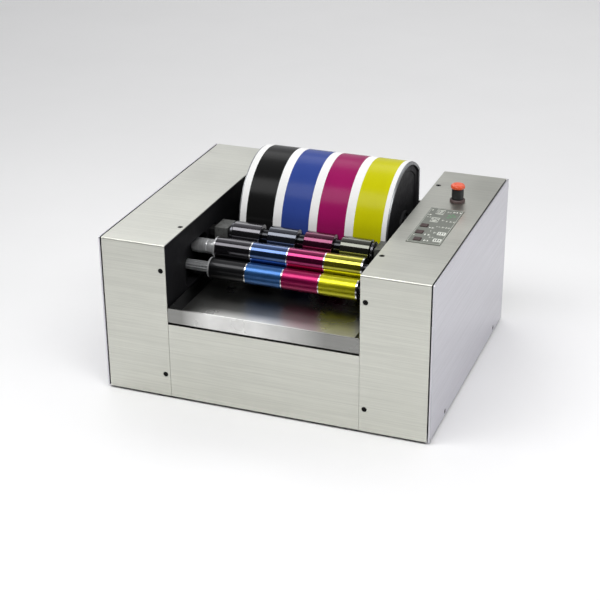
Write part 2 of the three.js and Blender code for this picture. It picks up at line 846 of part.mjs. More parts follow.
function addControlPanel() {
  const plate = block(
    [panel.x - panel.width / 2, panel.y - panel.length / 2, panelBottom],
    [panel.x + panel.width / 2, panel.y + panel.length / 2, panelTop],
  );
  const openings = [
    ...redKeys.map((key) => keyOpening(key.x, key.y, keySize, keySize)),
    ...paleKeys.map((key) => keyOpening(key.x, key.y, paleKeyWidth, keySize)),
    ...windows.y.map((y) => keyOpening(windows.x, y, windows.width, windows.length)),
  ];
  add('control_panel', cut(plate, ...openings), panelFilm());
  redKeys.forEach((key, i) => addKey(`red_key_${i + 1}`, redKey(), key.x, key.y, keySize, keySize));
  paleKeys.forEach((key, i) =>
    addKey(`pale_key_${i + 1}`, paleKey(), key.x, key.y, paleKeyWidth, keySize),
  );
  const x = panel.x + windows.x;
  const lenses = windows.y.map((y) =>
    block(
      [x - windows.width / 2, panel.y + y - windows.length / 2, 253],
      [x + windows.width / 2, panel.y + y + windows.length / 2, panelTop + 0.3],
    ),
  );
  const strip = block(
    [x - windows.width / 2 - 2, panel.y + windows.y[0] - 9, 253],
    [x + windows.width / 2 + 2, panel.y + windows.y[1] + 9, 255],
  );
  add('display_window', join(...lenses, strip), smokedLens());
  const board = block([-26.5, -69, 243], [26.5, 69, 244.6]);
  const post = rodZ(3, 3, 244, panelBottom - clearance, 10);
  const standoffs = [-66, 66].flatMap((py) => [-22.5, 22.5].map((px) => moved(post, px, py, 0)));
  add('controller_board', join(board, ...standoffs), boardGreen(), { x: panel.x, y: panel.y });
}

function addEmergencyStop() {
  const place = { x: eStop.x, y: eStop.y, z: cabinetTop };
  const collar = turnedZ(
    [
      [9.8, 5],
      [9.8, -19],
      [5, -19],
      [5, -24],
      [0, -24],
      [0, -26],
      [11, -26],
      [11, clearance],
      [12.2, clearance],
      [12.2, 3.8],
      [11.2, 5],
      [9.8, 5],
    ],
    24,
  );
  const stem = turnedZ(
    [
      [0, -14],
      [9.5, -14],
      [9.5, 21.5],
      [4, 21.5],
      [4, 26],
      [0, 26],
    ],
    24,
  );
  const cap = turnedZ(
    [
      [4.3, 26.5],
      [4.3, 22.4],
      [9.4, 22.4],
      [11.5, 24],
      [11.5, 26.6],
      [10.9, 28.2],
      [9.2, 29.3],
      [5.4, 29.8],
      [0, 29.8],
      [0, 26.5],
      [4.3, 26.5],
    ],
    24,
  );
  add('e_stop_collar', collar, blackPlastic(), place);
  add('e_stop_stem', stem, blackPlastic(), place);
  add('e_stop_cap', cap, signalRed(), place);
}

const rocker = { x: inlet.x, z: inlet.z + 16, width: 16, height: 20 };

function addPowerInlet() {
  const face = back - 0.3;
  const body = block(
    [inlet.x - inlet.width / 2, face - inlet.depth, inlet.z - inlet.height / 2],
    [inlet.x + inlet.width / 2, face, inlet.z + inlet.height / 2],
  );
  const socket = block([inlet.x - 12, face - 18, inlet.z - 25], [inlet.x + 12, face + 1, inlet.z - 8]);
  const well = block(
    [rocker.x - rocker.width / 2 - clearance, face - 15, rocker.z - rocker.height / 2 - 1],
    [rocker.x + rocker.width / 2 + clearance, face + 1, rocker.z + rocker.height / 2 + 1],
  );
  const pin = block([inlet.x - 1, face - 19, inlet.z], [inlet.x + 1, face - 4, inlet.z + 4]);
  const pins = [
    [-6, -19],
    [0, -14],
    [6, -19],
  ].map(([x, z]) => moved(pin, x, 0, z));
  add('power_inlet', join(cut(body, socket, well), ...pins), blackPlastic());
  add('power_switch', rockerGeometry(), blackPlastic(), { x: rocker.x, y: face, z: rocker.z });
}

// A two-way rocker, tipped to its off side about a pivot behind its face.
function rockerGeometry() {
  const pivot = -8;
  const wing = rocker.height / 2 - 0.5;
  const shape = new THREE.Shape();
  shape.moveTo(pivot, 0);
  shape.lineTo(-2, -wing);
  shape.lineTo(-3.2, 0);
  shape.lineTo(-2, wing);
  shape.closePath();
  const paddle = extrudeX(shape, -rocker.width / 2, rocker.width / 2, 4).translate(0, -pivot, 0);
  return paddle.rotateX(THREE.MathUtils.degToRad(10)).translate(0, pivot, 0);
}

// ---------- assembly ----------

addStructure();
addDrum();
addPrintingRoller();
addInkRollers();
addRollerDrive();
addImpressionSolenoid();
addControlPanel();
addEmergencyStop();
addPowerInlet();

export default object;
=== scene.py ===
"""Looks of the desktop offset ink proofer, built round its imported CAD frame. Metres, +Z up."""

import math
import random

import bpy
from mathutils import Matrix, Vector


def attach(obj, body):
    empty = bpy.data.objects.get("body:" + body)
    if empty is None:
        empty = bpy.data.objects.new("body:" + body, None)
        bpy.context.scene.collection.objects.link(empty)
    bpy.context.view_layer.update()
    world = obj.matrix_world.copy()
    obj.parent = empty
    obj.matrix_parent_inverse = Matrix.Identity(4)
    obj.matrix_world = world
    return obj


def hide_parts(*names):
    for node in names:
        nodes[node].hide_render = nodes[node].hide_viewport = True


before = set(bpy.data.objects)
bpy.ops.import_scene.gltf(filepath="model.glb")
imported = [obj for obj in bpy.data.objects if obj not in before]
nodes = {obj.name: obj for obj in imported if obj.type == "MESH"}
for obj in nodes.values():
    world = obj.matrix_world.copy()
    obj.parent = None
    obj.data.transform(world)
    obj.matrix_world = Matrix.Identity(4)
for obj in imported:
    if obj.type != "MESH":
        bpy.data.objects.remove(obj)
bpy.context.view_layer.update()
MM = 0.001

# ---------- dimensions, in millimetres, as in the CAD source ----------

SIDE = 262.5
TOP = 258.0
DRUM = (83.0, 210.9)
PRINT = (-45.356, 214.261)
UPPER = (-80.458, 201.067)
FRONT = (-105.023, 176.843)
INK_X = (-132.5, 114.5)
PANEL = (204.5, -14.0)
E_STOP = (209.0, 96.0)

DRUM_RADIUS = 103.4
DRUM_FLAT = 74.4
DRUM_SHIFT = 4.5
PAPER_THICKNESS = 0.4
PAPER = (DRUM_SHIFT - 122.0, DRUM_SHIFT + 122.0)
STRIPS = (("black", -90), ("blue", -30), ("magenta", 30), ("yellow", 90))
STRIP_HALF = 23.0
STRIP_SHIFT = 6.0

SLEEVE_HALF = 23.5
PRINT_RADIUS = 19.85
UPPER_RADIUS = 17.35
FRONT_RADIUS = 16.85
JOURNAL_END = -171.0
SHAFT_END = 166.0

KEY_TOP = 260.0
LENS_TOP = 259.1
PANEL_TOP = 258.8


# ---------- camera ----------


def add_camera():
    """A view down on the front and the right side, slightly rolled."""
    azimuth, elevation, roll = (math.radians(a) for a in (20.78, 25.51, -0.44))
    back = Vector(
        (
            math.sin(azimuth) * math.cos(elevation),
            -math.cos(azimuth) * math.cos(elevation),
            math.sin(elevation),
        )
    )
    right = (-back).cross(Vector((0, 0, 1))).normalized()
    up = right.cross(-back)
    turned_right = math.cos(roll) * right + math.sin(roll) * up
    turned_up = -math.sin(roll) * right + math.cos(roll) * up
    data = bpy.data.cameras.new("camera")
    data.lens = 88.44
    data.sensor_width = 36
    data.clip_start = 0.05
    data.clip_end = 50
    camera = bpy.data.objects.new("camera", data)
    turn = Matrix((turned_right, turned_up, back)).transposed().to_4x4()
    camera.matrix_world = Matrix.Translation((0.74697, -2.02890, 1.12591)) @ turn
    bpy.context.scene.collection.objects.link(camera)
    bpy.context.scene.camera = camera


add_camera()


# ---------- materials ----------


class Look:
    """A Principled material, with helpers for the node patterns that give it its detail."""

    def __init__(self, name, color, roughness, metallic=0.0, **sockets):
        self.material = bpy.data.materials.new(name)
        self.material.use_nodes = True
        self.tree = self.material.node_tree
        self.shader = self.tree.nodes["Principled BSDF"]
        self.color = color
        self.roughness = roughness
        self.shader.inputs["Base Color"].default_value = (*color, 1)
        self.shader.inputs["Roughness"].default_value = roughness
        self.shader.inputs["Metallic"].default_value = metallic
        for socket, value in sockets.items():
            self.shader.inputs[socket.replace("_", " ")].default_value = value
        self.place = self.tree.nodes.new("ShaderNodeTexCoord").outputs["Object"]

    def new(self, kind, **settings):
        node = self.tree.nodes.new(kind)
        for key, value in settings.items():
            setattr(node, key, value)
        return node

    def link(self, source, target):
        self.tree.links.new(source, target)

    def stretched(self, scale):
        mapping = self.new("ShaderNodeMapping")
        mapping.inputs["Scale"].default_value = scale
        self.link(self.place, mapping.inputs["Vector"])
        return mapping.outputs["Vector"]

    def noise(self, scale, detail=3.0, stretch=(1, 1, 1), roughness=0.55):
        node = self.new("ShaderNodeTexNoise")
        node.inputs["Scale"].default_value = scale
        node.inputs["Detail"].default_value = detail
        node.inputs["Roughness"].default_value = roughness
        self.link(self.stretched(stretch), node.inputs["Vector"])
        return node.outputs["Fac"]

    def cells(self, scale, stretch=(1, 1, 1)):
        node = self.new("ShaderNodeTexVoronoi")
        node.inputs["Scale"].default_value = scale
        self.link(self.stretched(stretch), node.inputs["Vector"])
        return node.outputs["Distance"]

    def spread(self, source, low, high, source_low=0.3, source_high=0.7):
        node = self.new("ShaderNodeMapRange")
        for socket, value in (
            ("From Min", source_low),
            ("From Max", source_high),
            ("To Min", low),
            ("To Max", high),
        ):
            node.inputs[socket].default_value = value
        self.link(source, node.inputs["Value"])
        return node.outputs["Result"]

    def combine(self, a, b, operation="ADD"):
        node = self.new("ShaderNodeMath", operation=operation)
        self.link(a, node.inputs[0])
        self.link(b, node.inputs[1])
        return node.outputs[0]

    def shade(self, source, dark, light, source_low=0.3, source_high=0.7):
        """Base colour between two multiples of its own, by the pattern."""
        node = self.new("ShaderNodeMix", data_type="RGBA")
        node.inputs[6].default_value = (*(min(1, c * dark) for c in self.color), 1)
        node.inputs[7].default_value = (*(min(1, c * light) for c in self.color), 1)
        self.link(self.spread(source, 0, 1, source_low, source_high), node.inputs[0])
        self.link(node.outputs[2], self.shader.inputs["Base Color"])
        return node

    def tint(self, mixed, source, color, low=0.55, high=0.75):
        """Lays a second colour over the base colour where the pattern is high."""
        node = self.new("ShaderNodeMix", data_type="RGBA")
        self.link(mixed.outputs[2], node.inputs[6])
        node.inputs[7].default_value = (*color, 1)
        self.link(self.spread(source, 0, 1, low, high), node.inputs[0])
        self.link(node.outputs[2], self.shader.inputs["Base Color"])
        return node

    def rough(self, source, low, high):
        self.link(self.spread(source, low, high), self.shader.inputs["Roughness"])

    def bump(self, source, strength, distance=0.0002):
        node = self.new("ShaderNodeBump")
        node.inputs["Strength"].default_value = strength
        node.inputs["Distance"].default_value = distance
        self.link(source, node.inputs["Height"])
        self.link(node.outputs["Normal"], self.shader.inputs["Normal"])


def painted_highlight_patch(look, left, right, back, color):
    """Paints a highlight: a lighter, less metallic patch that stands for the overhead light's glow
    on the metal, fading to left, right and rear.
    """
    split = look.new("ShaderNodeSeparateXYZ")
    look.link(look.place, split.inputs[0])
    share = look.combine(
        look.spread(split.outputs["X"], 0, 1, *left),
        look.spread(split.outputs["X"], 1, 0, *right),
        "MULTIPLY",
    )
    share = look.combine(share, look.spread(split.outputs["Y"], 1, 0, *back), "MULTIPLY")
    share = look.combine(share, look.spread(look.noise(18, 3), 0.7, 1.0), "MULTIPLY")
    base = look.shader.inputs["Base Color"]
    mix = look.new("ShaderNodeMix", data_type="RGBA")
    look.link(base.links[0].from_socket, mix.inputs[6])
    # The patch colour is a painted highlight of the overhead light on the tray floor just behind its
    # lip.
    mix.inputs[7].default_value = (*color, 1)
    look.link(share, mix.inputs[0])
    look.link(mix.outputs[2], base)
    look.link(look.spread(share, 1.0, 0.1, 0, 1), look.shader.inputs["Metallic"])


def brushed(name, color, roughness, along, contrast=0.035, strength=0.1, painted_shade_ends=None, painted_highlight=None):
    """Sheet steel brushed along one axis: soft streaks, fine scratches and faint cloudiness."""
    look = Look(name, color, roughness, 1.0)
    streaks = look.noise(1, 4, tuple(4 if i == along else 420 for i in range(3)))
    scratches = look.noise(1, 3, tuple(18 if i == along else 1500 for i in range(3)))
    clouds = look.noise(11, 4, roughness=0.6)
    grain = look.spread(look.combine(streaks, scratches), 0, 1, 0.7, 1.3)
    mixed = look.combine(grain, clouds)
    look.shade(mixed, 1 - contrast, 1 + contrast, 0.6, 1.4)
    look.rough(clouds, roughness - 0.03, roughness + 0.04)
    look.bump(grain, strength, 0.00004)
    # Optional painted highlight patch, then optional painted shade beyond a distance from the
    # middle.
    if painted_highlight:
        painted_highlight_patch(look, *painted_highlight)
    if painted_shade_ends:
        paint_shade_beyond(look, *painted_shade_ends)
    return look.material


def inked(name, color, roughness, metallic=0.0, coat=0.5, streak=0.06):
    """A wet ink film: nearly smooth, with the faint drag lines that a turning roller leaves."""
    look = Look(name, color, roughness, metallic, Coat_Weight=coat, Coat_Roughness=0.05)
    drag = look.noise(1, 3, (700, 18, 18))
    pools = look.noise(40, 3)
    look.shade(look.combine(drag, pools), 0.9, 1.08, 0.75, 1.25)
    look.rough(pools, roughness - 0.02, roughness + 0.03)
    look.bump(drag, streak, 0.00003)
    return look.material


def painted(name, color, roughness, **sockets):
    """Satin paint with orange peel and a little dust."""
    look = Look(name, color, roughness, **sockets)
    peel = look.noise(420, 2)
    dust = look.noise(22, 5, roughness=0.7)
    mixed = look.shade(peel, 0.8, 1.25)
    look.tint(mixed, dust, tuple(c * 1.2 + 0.02 for c in color), 0.55, 0.8)
    look.rough(dust, roughness - 0.08, roughness + 0.1)
    look.bump(peel, 0.2, 0.00008)
    return look.material


def cast(name, color, roughness, metallic, grain=260, painted_shade_beyond=0.0):
    """Hammered casting: rounded pits, darker in the hollows, with rubbed high spots."""
    look = Look(name, color, roughness, metallic)
    pits = look.cells(grain)
    lumps = look.noise(90, 4)
    mixed = look.shade(pits, 0.6, 1.35, 0.05, 0.6)
    look.tint(mixed, lumps, tuple(min(1, c * 1.8) for c in color), 0.58, 0.8)
    look.rough(lumps, roughness - 0.1, roughness + 0.1)
    look.bump(pits, 0.45, 0.0004)
    # Painted shade: beyond the given distance from the machine's middle the casting turns
    # near-black, at the machine's dark sides.
    if painted_shade_beyond:
        paint_shade_beyond(look, painted_shade_beyond, (0.008, 0.008, 0.008))
    return look.material


def paint_shade_beyond(look, limit, color, front=None):
    """Paints shade: lays a dark colour beyond a distance from the machine's middle, and behind a
    front plane, standing for shade and dark reflections there.
    """
    split = look.new("ShaderNodeSeparateXYZ")
    look.link(look.place, split.inputs[0])
    reach = look.new("ShaderNodeMath", operation="ABSOLUTE")
    look.link(split.outputs["X"], reach.inputs[0])
    share = look.spread(reach.outputs[0], 0, 1, limit, limit + 0.0004)
    if front is not None:
        behind = look.spread(split.outputs["Y"], 0, 1, front, front + 0.0002)
        share = look.combine(share, behind, "MULTIPLY")
    base = look.shader.inputs["Base Color"]
    mix = look.new("ShaderNodeMix", data_type="RGBA")
    look.link(base.links[0].from_socket, mix.inputs[6])
    mix.inputs[7].default_value = (*color, 1)
    look.link(share, mix.inputs[0])
    look.link(mix.outputs[2], base)


def machined(name, color, roughness, ring=300, metallic=1.0):
    """Turned or milled metal with fine tool marks and a few handling smudges."""
    look = Look(name, color, roughness, metallic)
    marks = look.noise(1, 2, (ring, 60, 60))
    smudge = look.noise(35, 4)
    look.shade(look.combine(marks, smudge), 0.84, 1.1, 0.75, 1.25)
    look.rough(smudge, roughness - 0.05, roughness + 0.09)
    look.bump(marks, 0.12, 0.00004)
    return look.material


def moulded(name, color, roughness, grain=900, **sockets):
    """Moulded plastic or rubber with a fine grain and slightly polished patches."""
    look = Look(name, color, roughness, **sockets)
    fine = look.noise(grain, 2)
    worn = look.noise(60, 4)
    mixed = look.shade(fine, 0.85, 1.12)
    look.tint(mixed, worn, tuple(min(1, c * 1.25 + 0.01) for c in color), 0.6, 0.85)
    look.rough(worn, roughness - 0.07, roughness + 0.08)
    look.bump(fine, 0.18, 0.00006)
    return look.material


def paper_look():
    look = Look("paper", (0.86, 0.86, 0.85), 0.75)
    fibres = look.noise(1, 4, (700, 500, 500))
    waves = look.noise(14, 2)
    look.shade(look.combine(fibres, waves), 0.955, 1.03, 0.75, 1.25)
    look.bump(fibres, 0.15, 0.00005)
    return look.material


def printed(name, color, roughness=0.22):
    """Ink printed on paper: an even solid with a little mottle and a sheen at low angles."""
    look = Look(name, color, roughness, Specular_IOR_Level=0.1)
    mottle = look.noise(900, 3, roughness=0.6)
    bands = look.noise(1, 2, (30, 9, 9))
    look.shade(look.combine(mottle, bands), 0.94, 1.05, 0.75, 1.25)
    look.rough(mottle, roughness - 0.03, roughness + 0.04)
    look.bump(mottle, 0.05, 0.00002)
    return look.material


LOOKS = {
    "sheet_across": brushed("stainless_across", (0.61, 0.615, 0.56), 0.34, 0, 0.075),
    # The bluish cast of this stainless copy is a painted reflection of the bluish light from the
    # right.
    "sheet_along": brushed("stainless_along", (0.60, 0.595, 0.635), 0.34, 1, 0.06),
    "tray": brushed(
        "stainless_tray",
        (0.26, 0.26, 0.25),
        0.28,
        0,
        0.04,
        0.02,
        # The side slopes behind the lip are painted near-black as a painted reflection of the black
        # frames; the pale patch just behind the lip is a painted highlight of the overhead light.
        (0.1386, (0.012, 0.012, 0.012), -0.2216),
        ((-0.130, -0.085), (-0.01, 0.10), (-0.212, -0.178), (0.95, 0.95, 0.93)),
    ),
    "black_paint": painted("black_paint", (0.006, 0.006, 0.007), 0.6, Specular_IOR_Level=0.2),
    "zinc_steel": machined("zinc_steel", (0.45, 0.47, 0.48), 0.38),
    # The slide-block casting turns near-black beyond 143.7 mm from the middle: painted shade.
    "cast_iron": cast("cast_iron", (0.085, 0.087, 0.083), 0.5, 0.4, 260, 0.1437),
    "cast_aluminium": machined("cast_aluminium", (0.30, 0.31, 0.32), 0.42, 160),
    "drum_end": cast("drum_end_iron", (0.014, 0.014, 0.016), 0.6, 0.2, 420),
    "chrome": machined("chrome", (0.80, 0.81, 0.82), 0.14, 500),
    "bright_steel": machined("bright_steel", (0.74, 0.75, 0.76), 0.2, 500, 0.6),
    # A darkened copy of the steel: painted shade on roller ends that sit in shadow.
    "painted_shade_steel": machined("painted_shade_steel", (0.10, 0.10, 0.11), 0.25, 500),
    "black_oxide": machined("black_oxide", (0.016, 0.016, 0.016), 0.33, 700),
    "foot_rubber": moulded("foot_rubber", (0.012, 0.012, 0.012), 0.75),
    "belt_rubber": moulded("belt_rubber", (0.014, 0.014, 0.014), 0.8, 500),
    "motor_paint": painted("motor_paint", (0.045, 0.05, 0.056), 0.5),
    "inked_steel": inked("inked_steel", (0.020, 0.021, 0.024), 0.14, 0.9, 0.3),
    "panel_film": moulded("panel_film", (0.150, 0.160, 0.138), 0.5, 1400),
    "panel_line": moulded("panel_line", (0.42, 0.44, 0.39), 0.5, 1400),
    "legend": moulded("panel_legend", (0.52, 0.54, 0.48), 0.45, 1400),
    "legend_bright": moulded("panel_legend_bright", (0.85, 0.87, 0.80), 0.4, 1400),
    "lamp": moulded("green_lamp", (0.06, 0.24, 0.10), 0.3, 1400),
    "lens": moulded("display_lens", (0.50, 0.52, 0.46), 0.16, 1400, Coat_Weight=0.4),
    "digit": moulded("display_digit", (0.035, 0.037, 0.032), 0.3, 1400),
    "red_key": moulded("red_key", (0.040, 0.017, 0.016), 0.45),
    "pale_key": moulded("pale_key", (0.68, 0.70, 0.64), 0.42),
    "signal_red": moulded("signal_red", (0.80, 0.105, 0.035), 0.3, 700, Coat_Weight=0.3),
    "black_plastic": moulded("black_plastic", (0.012, 0.012, 0.013), 0.38),
    "brown_ring": moulded("collar_ring", (0.085, 0.055, 0.052), 0.45),
    "circuit_board": moulded("circuit_board", (0.015, 0.11, 0.045), 0.35, 300),
    "paper": paper_look(),
    "strip_black": printed("strip_black", (0.008, 0.008, 0.008)),
    "strip_blue": printed("strip_blue", (0.030, 0.060, 0.270)),
    "strip_magenta": printed("strip_magenta", (0.300, 0.008, 0.100)),
    "strip_yellow": printed("strip_yellow", (0.540, 0.525, 0.003)),
    "segment_black": inked("segment_black", (0.060, 0.057, 0.066), 0.12, 0.9, 1.0),
    "segment_blue": inked("segment_blue", (0.055, 0.062, 0.080), 0.12, 0.9, 1.0),
    "segment_magenta": inked("segment_magenta", (0.120, 0.018, 0.055), 0.12, 0.9, 0.6),
    "segment_yellow": inked("segment_yellow", (0.085, 0.090, 0.070), 0.12, 0.9, 1.0),
    "film_black": inked("film_black", (0.040, 0.038, 0.045), 0.10, 0.9, 0.8),
    "film_blue": inked("film_blue", (0.035, 0.085, 0.230), 0.10, 0.9, 1.0),
    "film_magenta": inked("film_magenta", (0.280, 0.008, 0.090), 0.10, 0.9, 0.6),
    "film_yellow": inked("film_yellow", (0.420, 0.400, 0.020), 0.10, 0.9, 0.8),
    "wet_black": inked("wet_black", (0.018, 0.018, 0.020), 0.34, 0.85, 0.3),
    "wet_blue": inked("wet_blue", (0.034, 0.120, 0.330), 0.34, 0.85, 0.3),
    "wet_magenta": inked("wet_magenta", (0.330, 0.005, 0.085), 0.34, 0.85, 0.3),
    "wet_yellow": inked("wet_yellow", (0.580, 0.560, 0.010), 0.34, 0.85, 0.3),
}


# ---------- mesh building ----------


def piece(name, points, faces, looks, body, replaces=(), face_looks=None, smooth=32):
    """A mesh in the row frame, from points in millimetres, riding on a CAD body."""
    mesh = bpy.data.meshes.new(name)
    mesh.from_pydata([tuple(c * MM for c in p) for p in points], [], faces)
    for key in looks:
        mesh.materials.append(LOOKS[key])
    if face_looks:
        mesh.polygons.foreach_set("material_index", face_looks)
    mesh.polygons.foreach_set("use_smooth", [True] * len(mesh.polygons))
    mesh.validate()
    mesh.set_sharp_from_angle(angle=math.radians(smooth))
    obj = bpy.data.objects.new(name, mesh)
    normals = obj.modifiers.new("normals", "WEIGHTED_NORMAL")
    normals.keep_sharp = True
    bpy.context.scene.collection.objects.link(obj)
    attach(obj, body)
    if replaces:
        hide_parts(*replaces)
    return obj


class Shape:
    """Collects rings of points and the faces between them."""

    def __init__(self):
        self.points, self.faces, self.looks = [], [], []

    def loft(self, rings, closed=False, caps=(True, True), look=0):
        start, count = len(self.points), len(rings[0])
        for ring in rings:
            self.points.extend(ring)
        spans = len(rings) if closed else len(rings) - 1
        for i in range(spans):
            here = start + i * count
            there = start + ((i + 1) % len(rings)) * count
            index = look(i) if callable(look) else look
            for j in range(count):
                k = (j + 1) % count
                self.faces.append((here + j, here + k, there + k, there + j))
                self.looks.append(index)
        if not closed and caps[0]:
            self.faces.append(tuple(range(start + count - 1, start - 1, -1)))
            self.looks.append(look(0) if callable(look) else look)
        if not closed and caps[1]:
            last = start + (len(rings) - 1) * count
            self.faces.append(tuple(range(last, last + count)))
            self.looks.append(look(spans - 1) if callable(look) else look)
        return self

    def piece(self, name, looks, body, slot, replaces=(), smooth=32):
        return piece(
            name, self.points, self.faces, looks, body, replaces, self.looks, smooth
        )


def softened(profile, radius, steps=3, closed=False):
    """A polyline with each corner rounded off by at most the radius."""
    made = []
    count = len(profile)
    for i, corner in enumerate(profile):
        if not closed and i in (0, count - 1):
            made.append(tuple(corner))
            continue
        here = Vector(corner)
        before, after = Vector(profile[i - 1]), Vector(profile[(i + 1) % count])
        r = min(radius, 0.45 * (before - here).length, 0.45 * (after - here).length)
        a = here + (before - here).normalized() * r
        b = here + (after - here).normalized() * r
        for k in range(steps + 1):
            t = k / steps
            made.append(tuple(a * (1 - t) ** 2 + here * (2 * t * (1 - t)) + b * t**2))
    return made


def ring_x(x, radius, axis, segments):
    turn = [2 * math.pi * i / segments for i in range(segments)]
    return [(x, axis[0] + radius * math.cos(a), axis[1] + radius * math.sin(a)) for a in turn]


def ring_z(z, radius, centre, segments, shape=lambda angle: 1.0):
    turn = [2 * math.pi * i / segments for i in range(segments)]
    return [
        (
            centre[0] + radius * shape(a) * math.cos(a),
            centre[1] + radius * shape(a) * math.sin(a),
            z,
        )
        for a in turn
    ]


def solid_x(profile, axis, segments, look, shape):
    """A solid turned about X from (x, radius) points that start and end near the axis."""
    shape.loft([ring_x(x, r, axis, segments) for x, r in profile], look=look)


def prism(outline, z0, z1, radius, shape):
    """A plate over a flat outline, with its upper edge rounded."""
    steps = 2
    centre = Vector((sum(p[0] for p in outline), sum(p[1] for p in outline))) / len(outline)

    def drawn_in(amount):
        ring = []
        for p in outline:
            away = Vector(p) - centre
            span = Vector((abs(away.x), abs(away.y)))
            ring.append(
                (
                    p[0] - amount * (away.x / span.x if span.x > 1e-6 else 0),
                    p[1] - amount * (away.y / span.y if span.y > 1e-6 else 0),
                )
            )
        return ring

    rings = [[(x, y, z0) for x, y in outline], [(x, y, z1 - radius) for x, y in outline]]
    for k in range(1, steps + 1):
        a = math.pi / 2 * k / steps
        inward = radius * (1 - math.cos(a))
        z = z1 - radius + radius * math.sin(a)
        rings.append([(x, y, z) for x, y in drawn_in(inward)])
    shape.loft(rings)


def rounded_box_outline(x, y, width, length, radius, steps=4):
    corners = [
        (x - width / 2, y - length / 2),
        (x + width / 2, y - length / 2),
        (x + width / 2, y + length / 2),
        (x - width / 2, y + length / 2),
    ]
    return softened(corners, radius, steps, closed=True)


# ---------- carried-over CAD nodes ----------


def finish_node(name, look, bevel):
    """Gives a CAD node its material and broken edges, without touching its mesh."""
    obj = nodes[name]
    obj.data.materials.clear()
    obj.data.materials.append(LOOKS[look])
    weld = obj.modifiers.new("weld", "WELD")
    weld.merge_threshold = 0.00002
    flatten = obj.modifiers.new("flatten", "DECIMATE")
    flatten.decimate_type = "DISSOLVE"
    flatten.angle_limit = math.radians(0.6)
    edges = obj.modifiers.new("edges", "BEVEL")
    edges.width = bevel * MM
    edges.segments = 2
    edges.limit_method = "ANGLE"
    edges.angle_limit = math.radians(40)
    normals = obj.modifiers.new("normals", "WEIGHTED_NORMAL")
    normals.keep_sharp = True


CARRIED = {
    "left_cover": ("sheet_across", 0.35),
    "right_cover": ("sheet_across", 0.35),
    "front_panel": ("sheet_across", 0.3),
    "rear_panel": ("sheet_across", 0.3),
    "left_side_plate": ("sheet_along", 0.5),
    "right_side_plate": ("sheet_along", 0.5),
    "drip_tray": ("tray", 0.5),
    "left_frame": ("black_paint", 0.6),
    "right_frame": ("black_paint", 0.6),
    "base_plate": ("zinc_steel", 0.6),
    "front_tie_bar": ("zinc_steel", 0.8),
    "rear_tie_bar": ("zinc_steel", 0.8),
    "left_slide_block": ("cast_iron", 1.2),
    "right_slide_block": ("cast_iron", 1.2),
    "slide_tie_rod": ("zinc_steel", 0.4),
    "solenoid_plunger": ("zinc_steel", 0.4),
    "impression_solenoid": ("motor_paint", 1.2),
    "gripper_bar": ("zinc_steel", 0.4),
    "drum_pulley": ("cast_aluminium", 0.6),
    "drum_belt": ("belt_rubber", 0.3),
    "drum_motor_pulley": ("zinc_steel", 0.4),
    "drum_motor": ("motor_paint", 1.2),
    "roller_motor": ("motor_paint", 1.2),
    "drive_gear": ("zinc_steel", 0.12),
    "control_panel": ("panel_film", 0.25),
    "controller_board": ("circuit_board", 0.2),
    "power_inlet": ("black_plastic", 0.4),
    "power_switch": ("black_plastic", 0.5),
}
for node_name, (look_name, bevel_width) in CARRIED.items():
    finish_node(node_name, look_name, bevel_width)


# ---------- screws and feet ----------


def hexagon(angle):
    """Radius of a hexagon round its inner circle, for the socket."""
    return 1 / math.cos((angle + math.pi / 6) % (math.pi / 3) - math.pi / 6)


def socket_screw(name, place, facing, replaces=()):
    """A countersunk socket screw, flush with the sheet, whose head faces along the facing axis."""
    head, depth, shank, length = 4.0, 2.2, 2.0, 12.0
    segments = 48
    rings = [
        ring_z(-length, shank - 0.4, (0, 0), segments),
        ring_z(-length + 0.5, shank, (0, 0), segments),
        ring_z(-depth, shank, (0, 0), segments),
        ring_z(-0.45, head - 0.05, (0, 0), segments),
        ring_z(-0.25, head, (0, 0), segments),
        ring_z(-0.12, head - 0.2, (0, 0), segments),
        ring_z(-0.1, head - 0.5, (0, 0), segments),
        ring_z(-0.1, 1.75, (0, 0), segments, hexagon),
        ring_z(-0.3, 1.55, (0, 0), segments, hexagon),
        ring_z(-1.5, 1.5, (0, 0), segments, hexagon),
        ring_z(-1.9, 0.2, (0, 0), segments),
    ]
    shape = Shape().loft(rings)
    turn = Vector((0, 0, 1)).rotation_difference(Vector(facing)).to_matrix()
    centre = Vector(place)
    shape.points = [tuple(turn @ Vector(p) + centre) for p in shape.points]
    shape.piece(name, ["black_oxide"], "root", "black_oxide", replaces, 28)


for side_name, sign in (("left", -1), ("right", 1)):
    for index, z in enumerate((41, 216), 1):
        screw_name = f"{side_name}_front_screw_{index}"
        socket_screw(f"{screw_name}_head", (sign * 161.5, -223, z), (0, -1, 0), [screw_name])
    for index, y in enumerate((-148, 154.5), 1):
        screw_name = f"{side_name}_top_screw_{index}"
        socket_screw(f"{screw_name}_head", (sign * 161.5, y, TOP), (0, 0, 1), [screw_name])
    for index, y in enumerate((-138, 163), 1):
        socket_screw(f"{side_name}_side_screw_{index}", (sign * SIDE, y, 12), (sign, 0, 0))

for index, (x, y) in enumerate(((-225, -185), (225, -185), (-225, 185), (225, 185)), 1):
    outline = [(0, 13), (0.9, 14.6), (2.4, 15.8), (5.2, 16), (6.7, 15.4)]
    rings = [ring_z(z, r, (x, y), 64) for z, r in outline]
    foot = Shape().loft(rings)
    foot.piece(f"foot_pad_{index}", ["foot_rubber"], "root", "foot_rubber", [f"foot_{index}"])


# ---------- drum ----------


def d_outline(radius, flat, steps):
    corner = math.acos(flat / radius)
    sweep = 2 * (math.pi - corner)
    arc = [corner + sweep * i / steps for i in range(steps + 1)]
    points = [(radius * math.cos(a), radius * math.sin(a)) for a in arc]
    side = [(flat, -radius * math.sin(corner) * (1 - 2 * k / 8)) for k in range(1, 8)]
    return points + side


def d_ring(x, radius, flat, steps=168):
    return [(x, DRUM[0] + y, DRUM[1] + z) for y, z in d_outline(radius, flat, steps)]


